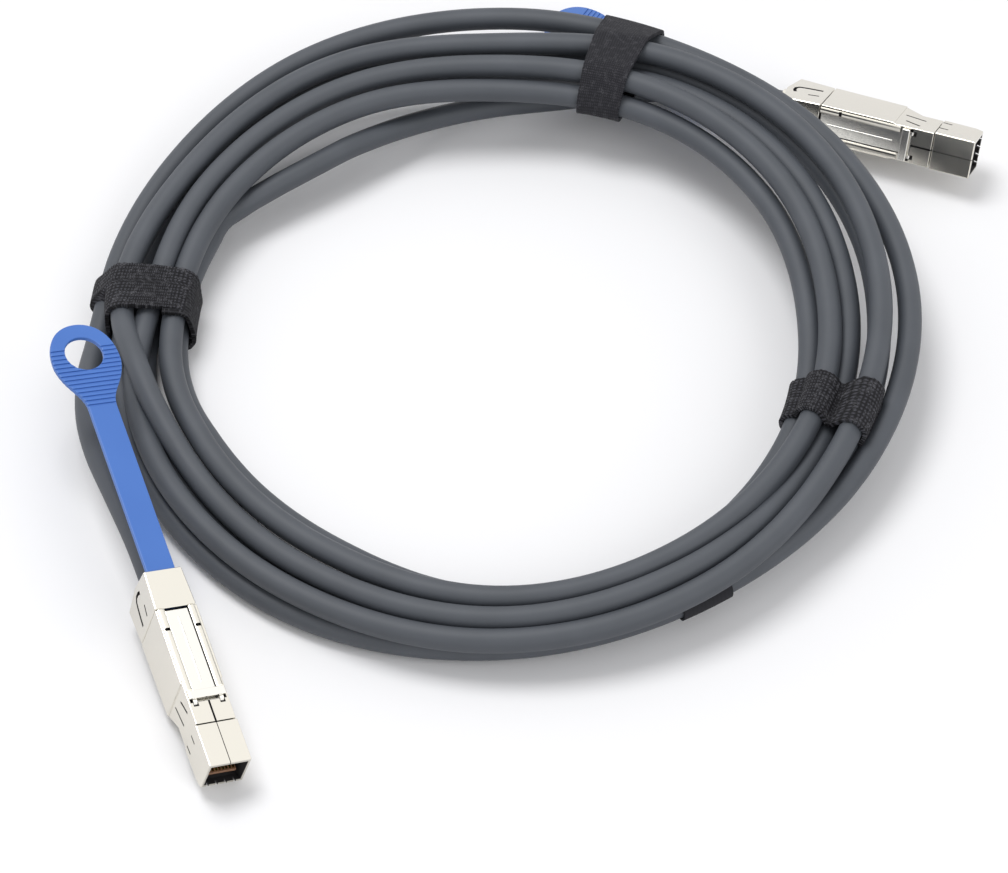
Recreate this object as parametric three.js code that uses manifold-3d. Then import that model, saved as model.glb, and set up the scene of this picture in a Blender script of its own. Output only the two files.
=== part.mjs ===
// Mini SAS HD cable assembly, coiled and tied, lying on a table. Millimetres, +Z up.
// Origin: bottom centre of the box around the two plugs and their pull tabs.
import * as THREE from "three";
import { mergeVertices } from "three/addons/utils/BufferGeometryUtils.js";
import Module from "manifold-3d";

const wasm = await Module();
wasm.setup();
const rad = THREE.MathUtils.degToRad;

// Clearance between neighbouring pieces
const GAP = 0.3;

// Plug shell, in the plug's own frame: x to the mating end, y to the left, z up, top face at 0
const PLUG_W = 13.0;
const REAR_W = 11.8;
const REAR_VEE_X = -1.35;
const REAR_VEE_Z = -10.95;
const REAR_DEPTH = 21.7;
const SLOT_FOOT = 13.9;
const SEAM_X = 13.4;
const SEAM_DEPTH = 19.3;
const STEP_X = 38.8;
const STEP_DEPTH = 18.5;
const STEP_IN = 0.4;
const NECK_X = 45.5;
const NECK_DEPTH = 14.0;
const CREASE_X = 52.7;
const MOUTH_X = 66.6;
const MOUTH_DEPTH = 12.4;
const MOUTH_WALL = 1.1;

// Rails, latch and bridge on the top face
const RAIL_X0 = 13.55;
const RAIL_X1 = 41.3;
const RAIL_IN = 3.65;
const RAIL_OUT = 5.95;
const RAIL_TOP = 0.35;
const TROUGH_DEPTH = 2.5;
const WINDOW_X = 20.5;
const LATCH_X0 = 14.0;
const LATCH_X1 = 46.6;
const LATCH_W = 6.4;
const LATCH_T = 0.8;
const LATCH_TOP = -0.1;
const HOOK_Y0 = 2.2;
const HOOK_Y1 = 5.2;
const HOOK_BACK = 44.9;
const HOOK_RISE = 1.1;
const BRIDGE_X0 = 41.6;
const BRIDGE_X1 = 44.3;
const BRIDGE_W = 11.2;
const BRIDGE_TOP = 1.2;

// Paddle cards and their carrier
const CARD_T = 1.0;
const CARRIER_WEB = 0.4;
const CARD_W = PLUG_W - 2 * (MOUTH_WALL + GAP + CARRIER_WEB + GAP);
const CARD_X0 = 53.6;
const CARD_X1 = 64.6;
const CARD_UPPER_Z = -2.9;
const CARD_LOWER_Z = -8.9;
const CARRIER_X0 = 53.1;
const CARRIER_X1 = 57.5;

// Cable, its crimp ferrule and the hole it enters
const CABLE_D = 7.5;
const FERRULE_R = 4.7;
const FERRULE_X0 = -2.4;
const FERRULE_X1 = 8.0;
const CABLE_Z = -11.0;

// Pull tab: strap, teardrop grip, finger hole and grooves
const STRAP_W = 9.0;
const STRAP_T = 1.6;
const STRAP_Z = -1.9;
const STRAP_FRONT = 12.4;
const NECK_S = 60.0;
const HOLE_S = 80.2;
const HOLE_R = 6.0;
const GRIP_R = 11.0;
const GRIP_T = 1.6;
const GROOVES = 13;
const GROOVE_PITCH = 1.6;
const GROOVE_W = 0.8;
const GROOVE_DEPTH = 0.3;

// Where the two plugs lie: yaw, pitch and roll in degrees, rear end of the top face
const PLUG_A = { yaw: -69.8, pitch: 9.62, roll: -13.94, at: [-110.63, -96.14, 25.77] };
const PLUG_B = { yaw: -21.26, pitch: -1.46, roll: 65.52, at: [82.23, 107.31, 14.5] };

// Coil: outer and inner circles of the bundle, its height, and the slope it lies at
const OUTER_C = [-10.2, 14.3];
const OUTER_R = 131.6;
const INNER_C = [-14.0, 7.3];
const INNER_R = 97.0;
const COIL_H = 14.6;
const COIL_LIFT = 11.1;
const COIL_SLOPE = 0.0608;
const CORNER = 3.5;

// Ties and the band on the coil
const TIE_T = 1.4;
const TIE_W = 18.0;

function toManifold(geometry) {
  geometry.deleteAttribute("normal");
  geometry.deleteAttribute("uv");
  const merged = mergeVertices(geometry, 1e-5);
  const mesh = new wasm.Mesh({
    numProp: 3,
    vertProperties: new Float32Array(merged.attributes.position.array),
    triVerts: new Uint32Array(merged.index.array),
  });
  return new wasm.Manifold(mesh);
}

function toGeometry(solid) {
  const mesh = solid.getMesh();
  const geometry = new THREE.BufferGeometry();
  geometry.setAttribute("position", new THREE.BufferAttribute(new Float32Array(mesh.vertProperties), 3));
  geometry.setIndex(new THREE.BufferAttribute(new Uint32Array(mesh.triVerts), 1));
  geometry.computeVertexNormals();
  return geometry;
}

function cut(solid, ...tools) {
  return tools.reduce((left, tool) => left.subtract(tool), solid);
}

function join(solid, ...others) {
  return others.reduce((sum, other) => sum.add(other), solid);
}

function block(x0, x1, y0, y1, z0, z1) {
  const geometry = new THREE.BoxGeometry(x1 - x0, y1 - y0, z1 - z0);
  geometry.translate((x0 + x1) / 2, (y0 + y1) / 2, (z0 + z1) / 2);
  return toManifold(geometry);
}

function shapeOf(points) {
  return new THREE.Shape(points.map(([x, y]) => new THREE.Vector2(x, y)));
}

// Side profile in x and z, given a width about the middle
function sidePrism(points, y0, y1) {
  const geometry = new THREE.ExtrudeGeometry(shapeOf(points), { depth: y1 - y0, bevelEnabled: false });
  geometry.rotateX(Math.PI / 2);
  geometry.translate(0, y1, 0);
  return toManifold(geometry);
}

// Plan profile in x and y, given a height
function planPrism(shape, z0, z1, curveSegments = 12) {
  const geometry = new THREE.ExtrudeGeometry(shape, { depth: z1 - z0, bevelEnabled: false, curveSegments });
  geometry.translate(0, 0, z0);
  return toManifold(geometry);
}

// End profile in y and z, given a length along x
function endPrism(points, x0, x1) {
  const geometry = new THREE.ExtrudeGeometry(shapeOf(points), { depth: x1 - x0, bevelEnabled: false });
  geometry.rotateX(Math.PI / 2);
  geometry.rotateZ(Math.PI / 2);
  geometry.translate(x0, 0, 0);
  return toManifold(geometry);
}

function cylinderX(x0, x1, y, z, radius, sides = 28) {
  const geometry = new THREE.CylinderGeometry(radius, radius, x1 - x0, sides);
  geometry.rotateZ(Math.PI / 2);
  geometry.translate((x0 + x1) / 2, y, z);
  return toManifold(geometry);
}

// Round tube along a smooth curve
function tube(points, radius, steps, sides = 10) {
  const ring = [];
  for (let i = 0; i < sides; i += 1) {
    const a = (2 * Math.PI * i) / sides;
    ring.push([radius * Math.cos(a), radius * Math.sin(a)]);
  }
  const curve = new THREE.CatmullRomCurve3(points.map((p) => new THREE.Vector3(...p)));
  const geometry = new THREE.ExtrudeGeometry(shapeOf(ring), { steps, extrudePath: curve });
  return toManifold(geometry);
}

// Placement of a plug in the part's frame
function placement(plug) {
  const turn = new THREE.Euler(rad(plug.roll), rad(plug.pitch), rad(plug.yaw), "ZYX");
  const matrix = new THREE.Matrix4().makeRotationFromEuler(turn);
  return matrix.setPosition(...plug.at);
}

function localPoint(plug, x, y, z) {
  return new THREE.Vector3(x, y, z).applyMatrix4(placement(plug));
}

// Materials
const metal = (colour, roughness) =>
  new THREE.MeshStandardMaterial({ color: colour, roughness, metalness: 1.0 });
const plastic = (colour, roughness) =>
  new THREE.MeshStandardMaterial({ color: colour, roughness, metalness: 0.0 });
const nickel = metal("#d8d2c8", 0.32);
const steel = metal("#c8c6c2", 0.3);
const laminate = plastic("#2f7a52", 0.5);
const carrierBlack = plastic("#26262a", 0.6);
const ferruleMetal = metal("#b4b0a8", 0.4);
const tabBlue = plastic("#4f7fd0", 0.45);
const jacket = plastic("#4c4f55", 0.65);
const hookLoop = plastic("#26262b", 0.9);

const part = new THREE.Group();
part.name = "mini_sas_hd_cable";

function addPiece(name, solid, material, matrix) {
  const geometry = toGeometry(solid);
  if (matrix) {
    geometry.applyMatrix4(matrix);
  }
  const mesh = new THREE.Mesh(geometry, material);
  mesh.name = name;
  part.add(mesh);
}

// Rear shell: tapered in plan, deeper at the back, bored for the cable and slotted for the strap
function rearShell() {
  const side = [
    [0, 0],
    [REAR_VEE_X, REAR_VEE_Z],
    [0.5, -REAR_DEPTH],
    [SEAM_X - GAP / 2, -SEAM_DEPTH],
    [SEAM_X - GAP / 2, 0],
  ];
  const plan = shapeOf([
    [REAR_VEE_X - 1, -REAR_W / 2],
    [SEAM_X, -PLUG_W / 2],
    [SEAM_X, PLUG_W / 2],
    [REAR_VEE_X - 1, REAR_W / 2],
  ]);
  const body = sidePrism(side, -PLUG_W, PLUG_W).intersect(planPrism(plan, -REAR_DEPTH - 1, 1));
  const strapWay = strapChannel(-3, SEAM_X + 1);
  const bore = cylinderX(-3, FERRULE_X1 + GAP, 0, CABLE_Z, FERRULE_R + GAP);
  return cut(body, strapWay, bore, ...rearSlots());
}

function strapChannel(x0, x1) {
  const half = STRAP_W / 2 + GAP;
  const mid = STRAP_Z;
  const reach = STRAP_T / 2 + GAP;
  return block(x0, x1, -half, half, mid - reach, mid + reach);
}

// Shallow slots in both side faces of the rear shell
function rearSlots() {
  const slots = [];
  for (const s of [-1, 1]) {
    const y0 = Math.min(s * 5.6, s * 8);
    const y1 = Math.max(s * 5.6, s * 8);
    slots.push(block(1.5, 2.5, y0, y1, -SLOT_FOOT, -8.6));
    slots.push(block(1.5, 10.6, y0, y1, -SLOT_FOOT, 0.9 - SLOT_FOOT));
    slots.push(block(6.8, 10.6, y0, y1, -8.2, -7.4));
  }
  return slots;
}

// Body shell: flat sides to the step, a slanted underside, rails and the latch trough on top
function bodyShell() {
  const x0 = SEAM_X + GAP / 2;
  const x1 = CREASE_X - GAP / 2;
  const half = PLUG_W / 2;
  const wide = sidePrism([[x0, 0], [x0, -SEAM_DEPTH], [STEP_X, -STEP_DEPTH], [STEP_X, 0]], -half, half);
  const front = [
    [STEP_X - 1, 0],
    [STEP_X - 1, -STEP_DEPTH + STEP_IN],
    [STEP_X, -STEP_DEPTH + STEP_IN],
    [NECK_X, -NECK_DEPTH],
    [x1, -NECK_DEPTH],
    [x1, 0],
  ];
  const narrow = sidePrism(front, -half + STEP_IN, half - STEP_IN);
  const trough = block(x0 - 1, HOOK_BACK, -RAIL_IN, RAIL_IN, -TROUGH_DEPTH, 1);
  const hookWell = block(HOOK_BACK - 0.5, LATCH_X1 + 0.6, -5.6, 5.6, -TROUGH_DEPTH, 1);
  const slit = block(LATCH_X1 + 0.3, x1 + 1, -0.45, 0.45, -1.0, 1);
  const centreWay = block(HOOK_BACK - 0.5, HOOK_BACK + 1, -RAIL_IN, RAIL_IN, -TROUGH_DEPTH, 1);
  const cardWay = block(49, x1 + 1, -4.6, 4.6, -NECK_DEPTH + 2, -2);
  const shell = cut(join(wide, narrow), trough, hookWell, slit, centreWay, cardWay, ...bodySlots());
  return join(shell, rail(1), rail(-1));
}

// Beaded rail with a small window, along one top edge
function rail(side) {
  const a = RAIL_IN;
  const b = RAIL_OUT;
  const half = [[a, -1], [b, -1], [b, RAIL_TOP - 0.3], [b - 0.5, RAIL_TOP], [a + 0.5, RAIL_TOP], [a, RAIL_TOP - 0.3]];
  const profile = half.map(([y, z]) => [side * y, z]);
  if (side < 0) {
    profile.reverse();
  }
  const bead = endPrism(profile, RAIL_X0, RAIL_X1);
  const mid = (side * (a + b)) / 2;
  const window = block(WINDOW_X - 0.5, WINDOW_X + 0.5, mid - 0.8, mid + 0.8, -0.6, 1);
  return bead.subtract(window);
}

// Slots in both side faces of the body shell
function bodySlots() {
  const slots = [];
  for (const s of [-1, 1]) {
    const y0 = Math.min(s * 5.5, s * 8);
    const y1 = Math.max(s * 5.5, s * 8);
    slots.push(block(STEP_X + 1.4, 47.6, y0, y1, -10.6, -9.6));
    slots.push(block(42.4, 47.2, y0, y1, -4.4, -3.2));
  }
  return slots;
}

// Nose shell: a thin-walled mouth, open at the front
function noseShell() {
  const x0 = CREASE_X + GAP / 2;
  const outer = [
    [x0, 0],
    [x0, -NECK_DEPTH],
    [MOUTH_X - 2.6, -NECK_DEPTH + 0.4],
    [MOUTH_X, -MOUTH_DEPTH],
    [MOUTH_X, 0],
  ];
  const inner = [
    [x0 - 1, -MOUTH_WALL],
    [x0 - 1, -NECK_DEPTH + MOUTH_WALL],
    [MOUTH_X - 2.6, -NECK_DEPTH + 0.4 + MOUTH_WALL],
    [MOUTH_X + 0.1, -MOUTH_DEPTH + MOUTH_WALL],
    [MOUTH_X + 0.1, -MOUTH_WALL],
  ];
  const half = PLUG_W / 2;
  const shell = sidePrism(outer, -half, half);
  const hollow = sidePrism(inner, -half + MOUTH_WALL, half - MOUTH_WALL);
  const slots = [];
  for (const s of [-1, 1]) {
    const y0 = Math.min(s * 6.0, s * 8);
    const y1 = Math.max(s * 6.0, s * 8);
    slots.push(block(CREASE_X + 0.8, 55.8, y0, y1, -6.0, -5.2));
    slots.push(block(CREASE_X + 0.8, 56.0, y0, y1, -11.8, -11.0));
  }
  return cut(shell, hollow, ...slots);
}

// Latch plate: flat spring between the rails, ending in two hooks that stand above the top face
function latchPlate() {
  const z0 = LATCH_TOP - LATCH_T;
  const plate = block(LATCH_X0, LATCH_X1, -LATCH_W / 2, LATCH_W / 2, z0, LATCH_TOP);
  const cross = block(HOOK_BACK, LATCH_X1, -HOOK_Y1, HOOK_Y1, z0, LATCH_TOP);
  const hook = [
    [HOOK_BACK, LATCH_TOP - 0.2],
    [LATCH_X1, LATCH_TOP - 0.2],
    [HOOK_BACK + 0.6, HOOK_RISE],
    [HOOK_BACK, HOOK_RISE],
  ];
  const left = sidePrism(hook, HOOK_Y0, HOOK_Y1);
  const right = sidePrism(hook, -HOOK_Y1, -HOOK_Y0);
  return join(plate, cross, left, right);
}

function latchBridge() {
  const half = BRIDGE_W / 2;
  const c = 0.4;
  const profile = [
    [-half, GAP],
    [half, GAP],
    [half, BRIDGE_TOP - c],
    [half - c, BRIDGE_TOP],
    [-half + c, BRIDGE_TOP],
    [-half, BRIDGE_TOP - c],
  ];
  return endPrism(profile, BRIDGE_X0, BRIDGE_X1);
}

function card(z) {
  return block(CARD_X0, CARD_X1, -CARD_W / 2, CARD_W / 2, z - CARD_T / 2, z + CARD_T / 2);
}

// Carrier block between the cards and the mouth walls
function cardCarrier() {
  const half = PLUG_W / 2 - MOUTH_WALL - GAP;
  const top = -MOUTH_WALL - GAP;
  const low = -NECK_DEPTH + MOUTH_WALL + GAP + 0.3;
  const body = block(CARRIER_X0, CARRIER_X1, -half, half, low, top);
  const ways = [CARD_UPPER_Z, CARD_LOWER_Z].map((z) =>
    block(CARRIER_X0 - 1, CARRIER_X1 + 1, -CARD_W / 2 - GAP, CARD_W / 2 + GAP, z - CARD_T / 2 - GAP, z + CARD_T / 2 + GAP));
  return cut(body, ...ways);
}

function crimpFerrule() {
  const sleeve = cylinderX(FERRULE_X0, FERRULE_X1, 0, CABLE_Z, FERRULE_R);
  const way = cylinderX(FERRULE_X0 - 1, FERRULE_X1 + 1, 0, CABLE_Z, CABLE_D / 2 + GAP);
  return sleeve.subtract(way);
}

// Grip: a teardrop with a finger hole and grooves across both faces, in the strap's flat frame
// with s along x, the width along y and the thickness along z
function grip() {
  const shape = new THREE.Shape();
  shape.moveTo(NECK_S - 6, -STRAP_W / 2);
  shape.lineTo(NECK_S, -STRAP_W / 2);
  shape.bezierCurveTo(NECK_S + 6, -STRAP_W / 2, NECK_S + 8, -GRIP_R * 0.86, HOLE_S - 4, -GRIP_R * 0.98);
  shape.bezierCurveTo(HOLE_S + 5, -GRIP_R * 1.03, HOLE_S + GRIP_R, -GRIP_R * 0.62, HOLE_S + GRIP_R, 0);
  shape.bezierCurveTo(HOLE_S + GRIP_R, GRIP_R * 0.62, HOLE_S + 5, GRIP_R * 1.03, HOLE_S - 4, GRIP_R * 0.98);
  shape.bezierCurveTo(NECK_S + 8, GRIP_R * 0.86, NECK_S + 6, STRAP_W / 2, NECK_S, STRAP_W / 2);
  shape.lineTo(NECK_S - 6, STRAP_W / 2);
  shape.closePath();
  const hole = new THREE.Path();
  hole.absarc(HOLE_S, 0, HOLE_R, 0, 2 * Math.PI, true);
  shape.holes.push(hole);
  const body = planPrism(shape, -GRIP_T / 2, GRIP_T / 2, 10);
  const grooves = [];
  for (let i = 0; i < GROOVES; i += 1) {
    const s = NECK_S + 1 + i * GROOVE_PITCH;
    for (const face of [-1, 1]) {
      const outer = (face * GRIP_T) / 2;
      const lo = outer - GROOVE_DEPTH;
      grooves.push(block(s, s + GROOVE_W, -GRIP_R - 1, GRIP_R + 1, lo, lo + 2 * GROOVE_DEPTH));
    }
  }
  return cut(body, ...grooves);
}

// Centre line of a strap: heading, twist and height change along its length
function strapFrames(plug, bend) {
  const start = localPoint(plug, 0, 0, STRAP_Z);
  const origin = localPoint(plug, 0, 0, 0);
  const back = localPoint(plug, -1, 0, 0).sub(origin);
  const wide = localPoint(plug, 0, 1, 0).sub(origin);
  const step = 1;
  const frames = [];
  const place = start.clone().addScaledVector(back, -STRAP_FRONT);
  for (let s = -STRAP_FRONT; s <= NECK_S + 0.001; s += step) {
    const t = THREE.MathUtils.smoothstep(s, bend.from, bend.to);
    const turn = new THREE.Quaternion().setFromAxisAngle(new THREE.Vector3(0, 0, 1), rad(bend.turn * t));
    const along = back.clone().applyQuaternion(turn);
    const twist = new THREE.Quaternion().setFromAxisAngle(along, rad(bend.twist * t));
    const across = wide.clone().applyQuaternion(turn).applyQuaternion(twist);
    frames.push({ s, place: place.clone(), along, across });
    place.addScaledVector(along, step);
  }
  return frames;
}

function frameMatrix(frame) {
  const up = new THREE.Vector3().crossVectors(frame.along, frame.across);
  const matrix = new THREE.Matrix4().makeBasis(frame.along, frame.across, up);
  matrix.setPosition(frame.place.clone().addScaledVector(frame.along, -frame.s));
  return matrix;
}

// Pull tab: a strap that follows its centre line, joined to the grip
function pullTab(plug, bend) {
  const frames = strapFrames(plug, bend);
  const segments = 24;
  const end = NECK_S - 2;
  const length = end + STRAP_FRONT;
  const strap = new THREE.BoxGeometry(length, STRAP_W, STRAP_T, segments, 1, 1);
  strap.translate(length / 2 - STRAP_FRONT, 0, 0);
  const position = strap.attributes.position;
  const p = new THREE.Vector3();
  for (let i = 0; i < position.count; i += 1) {
    p.fromBufferAttribute(position, i);
    const index = Math.min(frames.length - 1, Math.max(0, Math.round(p.x + STRAP_FRONT)));
    p.applyMatrix4(frameMatrix(frames[index]));
    position.setXYZ(i, p.x, p.y, p.z);
  }
  const gripGeometry = toGeometry(grip());
  gripGeometry.applyMatrix4(frameMatrix(frames[frames.length - 1]));
  gripGeometry.deleteAttribute("normal");
  return toManifold(strap).add(toManifold(gripGeometry));
}

const BEND_A = { from: 10, to: 58, turn: 0, twist: 0 };
const BEND_B = { from: 12, to: 56, turn: -17, twist: 52 };

function addPlug(tag, plug, bend) {
  const at = placement(plug);
  addPiece(`rear_shell_${tag}`, rearShell(), nickel, at);
  addPiece(`body_shell_${tag}`, bodyShell(), nickel, at);
  addPiece(`nose_shell_${tag}`, noseShell(), nickel, at);
  addPiece(`latch_plate_${tag}`, latchPlate(), steel, at);
  addPiece(`latch_bridge_${tag}`, latchBridge(), steel, at);
  addPiece(`card_upper_${tag}`, card(CARD_UPPER_Z), laminate, at);
  addPiece(`card_lower_${tag}`, card(CARD_LOWER_Z), laminate, at);
  addPiece(`card_carrier_${tag}`, cardCarrier(), carrierBlack, at);
  addPiece(`crimp_ferrule_${tag}`, crimpFerrule(), ferruleMetal, at);
  addPiece(`pull_tab_${tag}`, pullTab(plug, bend), tabBlue, null);
}

addPlug("a", PLUG_A, BEND_A);
addPlug("b", PLUG_B, BEND_B);

// Coil laid flat at height 0, then sloped so that its far right side is raised
function puck(radius, grow) {
  const r = radius + grow;
  const c = CORNER;
  const profile = [
    new THREE.Vector2(0, -grow),
    new THREE.Vector2(r - c, -grow),
    new THREE.Vector2(r - 0.3 * c, 0.3 * c - grow),
    new THREE.Vector2(r, c - grow),
    new THREE.Vector2(r, COIL_H - c + grow),
    new THREE.Vector2(r - 0.3 * c, COIL_H - 0.3 * c + grow),
    new THREE.Vector2(r - c, COIL_H + grow),
    new THREE.Vector2(0, COIL_H + grow),
  ];
  const geometry = new THREE.LatheGeometry(profile, 96);
  geometry.rotateX(Math.PI / 2);
  geometry.translate(OUTER_C[0], OUTER_C[1], 0);
  return toManifold(geometry);
}

function bundle(grow) {
  const core = new THREE.CylinderGeometry(INNER_R - grow, INNER_R - grow, 2 * COIL_H, 96);
  core.rotateX(Math.PI / 2);
  core.translate(INNER_C[0], INNER_C[1], COIL_H / 2);
  return puck(OUTER_R, grow).subtract(toManifold(core));
}

const LAY = new THREE.Matrix4().set(
  1, 0, 0, 0,
  0, 1, 0, 0,
  COIL_SLOPE, COIL_SLOPE, 1, COIL_LIFT - COIL_SLOPE * (OUTER_C[0] + OUTER_C[1]),
  0, 0, 0, 1,
);

function laid(solid) {
  const geometry = toGeometry(solid);
  geometry.applyMatrix4(LAY);
  return toManifold(geometry);
}

// A piece around the bundle at an angle: radial range, width, and height range
function around(angle, r0, r1, width, z0, z1) {
  const geometry = new THREE.BoxGeometry(r1 - r0, width, z1 - z0, 1, 1, 1);
  geometry.translate((r0 + r1) / 2, 0, (z0 + z1) / 2);
  geometry.rotateZ(rad(angle));
  geometry.translate(OUTER_C[0], OUTER_C[1], 0);
  return toManifold(geometry).subtract(bundle(GAP));
}

const outside = OUTER_R + GAP + TIE_T;
const over = COIL_H + GAP + TIE_T;
const under = -GAP - TIE_T;
const clearInner = new THREE.CylinderGeometry(INNER_R - GAP - TIE_T, INNER_R - GAP - TIE_T, 80, 96);
clearInner.rotateX(Math.PI / 2);
clearInner.translate(INNER_C[0], INNER_C[1], 0);
const innerLimit = toManifold(clearInner);

function tie(angle, r1, width, z0, z1) {
  return around(angle, 70, r1, width, z0, z1).subtract(innerLimit);
}

const bundleLaid = laid(bundle(0));
const bundleRoom = laid(bundle(GAP));
addPiece("cable_coil", bundleLaid, jacket, null);
addPiece("tie_left", laid(tie(176, outside, TIE_W, under, over)), hookLoop, null);
addPiece("tie_top", laid(tie(70, outside, TIE_W, under, over)), hookLoop, null);
addPiece("tie_right", laid(tie(-24, 124, TIE_W, under, over)), hookLoop, null);
const band = around(-62, 122.5, outside, 14, under, CABLE_D);
addPiece("sleeve_band", laid(band), hookLoop, null);

// Lead from plug A: up out of the shell, over the floor and down into the bundle's outer side
const exitA = localPoint(PLUG_A, FERRULE_X1 - 2, 0, CABLE_Z);
const exitA2 = localPoint(PLUG_A, FERRULE_X0 - 4, 0, CABLE_Z);
const LEAD_A = [
  exitA.toArray(),
  exitA2.toArray(),
  [-120.2, -78.5, 17.6],
  [-128.0, -60.0, 17.0],
  [-135.0, -42.0, 14.0],
  [-139.6, -24.0, 10.8],
  [-141.0, -6.0, 8.4],
  [-138.6, 10.0, 7.2],
  [-134.0, 24.0, 6.8],
];
// Lead from plug B: down to the floor, under the bundle and up into its inner side
const exitB = localPoint(PLUG_B, FERRULE_X1 - 2, 0, CABLE_Z);
const exitB2 = localPoint(PLUG_B, FERRULE_X0 - 4, 0, CABLE_Z);
const LEAD_B = [
  exitB.toArray(),
  exitB2.toArray(),
  [66.0, 122.8, 8.2],
  [52.0, 127.6, 5.4],
  [38.0, 128.6, 4.2],
  [22.0, 126.0, 4.8],
  [6.0, 122.0, 6.4],
  [-12.0, 117.2, 8.4],
  [-28.0, 111.0, 10.4],
  [-42.0, 103.8, 12.2],
  [-54.0, 95.8, 14.2],
  [-65.0, 87.8, 15.2],
];

// The part of a lead outside the bundle
function outsideOf(lead) {
  const pieces = lead.subtract(bundleRoom).decompose();
  return pieces.reduce((best, piece) => (piece.volume() > best.volume() ? piece : best));
}

const leadA = outsideOf(tube(LEAD_A, CABLE_D / 2, 60));
const leadB = outsideOf(tube(LEAD_B, CABLE_D / 2, 60));
addPiece("cable_lead_a", leadA, jacket, null);
addPiece("cable_lead_b", leadB, jacket, null);

export default part;
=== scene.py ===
# %% [markdown]
# # Mini SAS HD cable
#
# A long external data cable, kept as it is sold: wound into a ring, held by
# hook-and-loop ties, with a latching metal plug and a blue pull tab on each end.
# The CAD model is the frame. Every piece below is modelled in place, in metres.

# %% Load the frame
import math
import random

import bmesh
import bpy
from mathutils import Matrix, Quaternion, Vector


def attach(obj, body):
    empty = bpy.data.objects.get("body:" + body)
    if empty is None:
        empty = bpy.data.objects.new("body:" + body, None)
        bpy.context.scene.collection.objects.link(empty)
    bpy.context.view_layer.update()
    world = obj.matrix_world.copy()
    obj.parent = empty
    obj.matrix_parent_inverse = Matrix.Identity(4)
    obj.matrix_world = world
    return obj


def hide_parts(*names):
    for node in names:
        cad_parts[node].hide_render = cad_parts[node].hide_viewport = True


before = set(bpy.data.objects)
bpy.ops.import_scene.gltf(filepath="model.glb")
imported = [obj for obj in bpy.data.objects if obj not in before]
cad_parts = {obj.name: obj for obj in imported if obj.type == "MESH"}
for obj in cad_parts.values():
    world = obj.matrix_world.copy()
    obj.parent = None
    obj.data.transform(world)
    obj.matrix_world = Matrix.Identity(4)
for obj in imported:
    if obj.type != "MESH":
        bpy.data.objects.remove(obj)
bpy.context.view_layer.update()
MM = 0.001

# %% [markdown]
# The plugs and the coil lie where the CAD has them. These are its driving values:
# where each plug lies, the outer circle that bounds the bundle, and the slope that
# the bundle takes because the far plug's lead and tab pass beneath it. A placement
# could be built from a chain of empties. A matrix is used, since every piece of a
# plug is then moved by the same one.

# %% Values shared with the CAD
PLUG_A = dict(yaw=-69.8, pitch=9.62, roll=-13.94, at=(-110.63, -96.14, 25.77))
PLUG_B = dict(yaw=-21.26, pitch=-1.46, roll=65.52, at=(82.23, 107.31, 14.5))
OUTER_C = (-10.2, 14.3)
OUTER_R = 127.8
COIL_LIFT = 11.1
COIL_SLOPE = 0.0608
CABLE_D = 7.5


def placement(plug):
    turn = Matrix.Rotation(math.radians(plug["yaw"]), 4, "Z")
    turn = turn @ Matrix.Rotation(math.radians(plug["pitch"]), 4, "Y")
    turn = turn @ Matrix.Rotation(math.radians(plug["roll"]), 4, "X")
    return Matrix.Translation(Vector(plug["at"])) @ turn


def coil_base(x, y):
    """Height of the sloped plane that the bundle lies on."""
    return COIL_LIFT + COIL_SLOPE * (x - OUTER_C[0] + y - OUTER_C[1])


print("bundle lies from", round(coil_base(-104, -80), 1), "to", round(coil_base(80, 104), 1), "mm high")

# %% [markdown]
# ## Camera, light and floor
#
# The photograph looks down at about 49 degrees through a long lens, so the ring is
# an ellipse with little perspective. The camera could be turned by a Track To
# constraint. It is placed by its height angle and distance instead, because those
# two were fitted to the plug's known size.

# %% Camera
CAMERA_EL = 49.426
CAMERA_DISTANCE = 1.09673
camera_data = bpy.data.cameras.new("camera")
camera_data.sensor_width = 36.0
camera_data.lens = 36.0 * 3496.34 / 1008.0
camera = bpy.data.objects.new("camera", camera_data)
elevation = math.radians(CAMERA_EL)
camera.location = (
    -0.010,
    -CAMERA_DISTANCE * math.cos(elevation) - 0.0228,
    CAMERA_DISTANCE * math.sin(elevation) + 0.0001,
)
camera.rotation_euler = (math.radians(90.0) - elevation, 0.0, 0.0)
camera_data.clip_start = 0.05
camera_data.clip_end = 20.0
bpy.context.collection.objects.link(camera)
bpy.context.scene.camera = camera
print("camera at", [round(v, 3) for v in camera.location])


# %% [markdown]
# Materials are made of nodes. A short helper adds a node with its values and its
# links in one line, so that each material below reads from its coordinates to its
# finish. The colours are given as they look on a screen, and Blender works in linear
# light, so they are converted.

# %% Helpers for colours and nodes
def srgb(code):
    """A hex colour as linear red, green, blue and alpha."""
    channels = [int(code[i:i + 2], 16) / 255.0 for i in (1, 3, 5)]
    linear = [c / 12.92 if c <= 0.04045 else ((c + 0.055) / 1.055) ** 2.4 for c in channels]
    return (*linear, 1.0)


def add_node(material, kind, links=None, **settings):
    """One node, with its settings, its input values and the sockets that feed it."""
    node = material.node_tree.nodes.new(kind)
    inputs = settings.pop("inputs", {})
    for name, value in settings.items():
        setattr(node, name, value)
    for name, value in inputs.items():
        node.inputs[name].default_value = value
    for name, socket in (links or {}).items():
        material.node_tree.links.new(socket, node.inputs[name])
    return node


def new_material(name):
    material = bpy.data.materials.new(name)
    material.use_nodes = True
    shader = material.node_tree.nodes["Principled BSDF"]
    return material, shader


# %% [markdown]
# The background is white with soft grey shadow, as on a packshot table. A few big
# lamps alone would leave the metal nearly black between their reflections, so the
# world is white all round. It is brighter to glossy rays than to the rest, which
# gives the plating its pale sheen without bleaching the dark cable.

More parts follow.
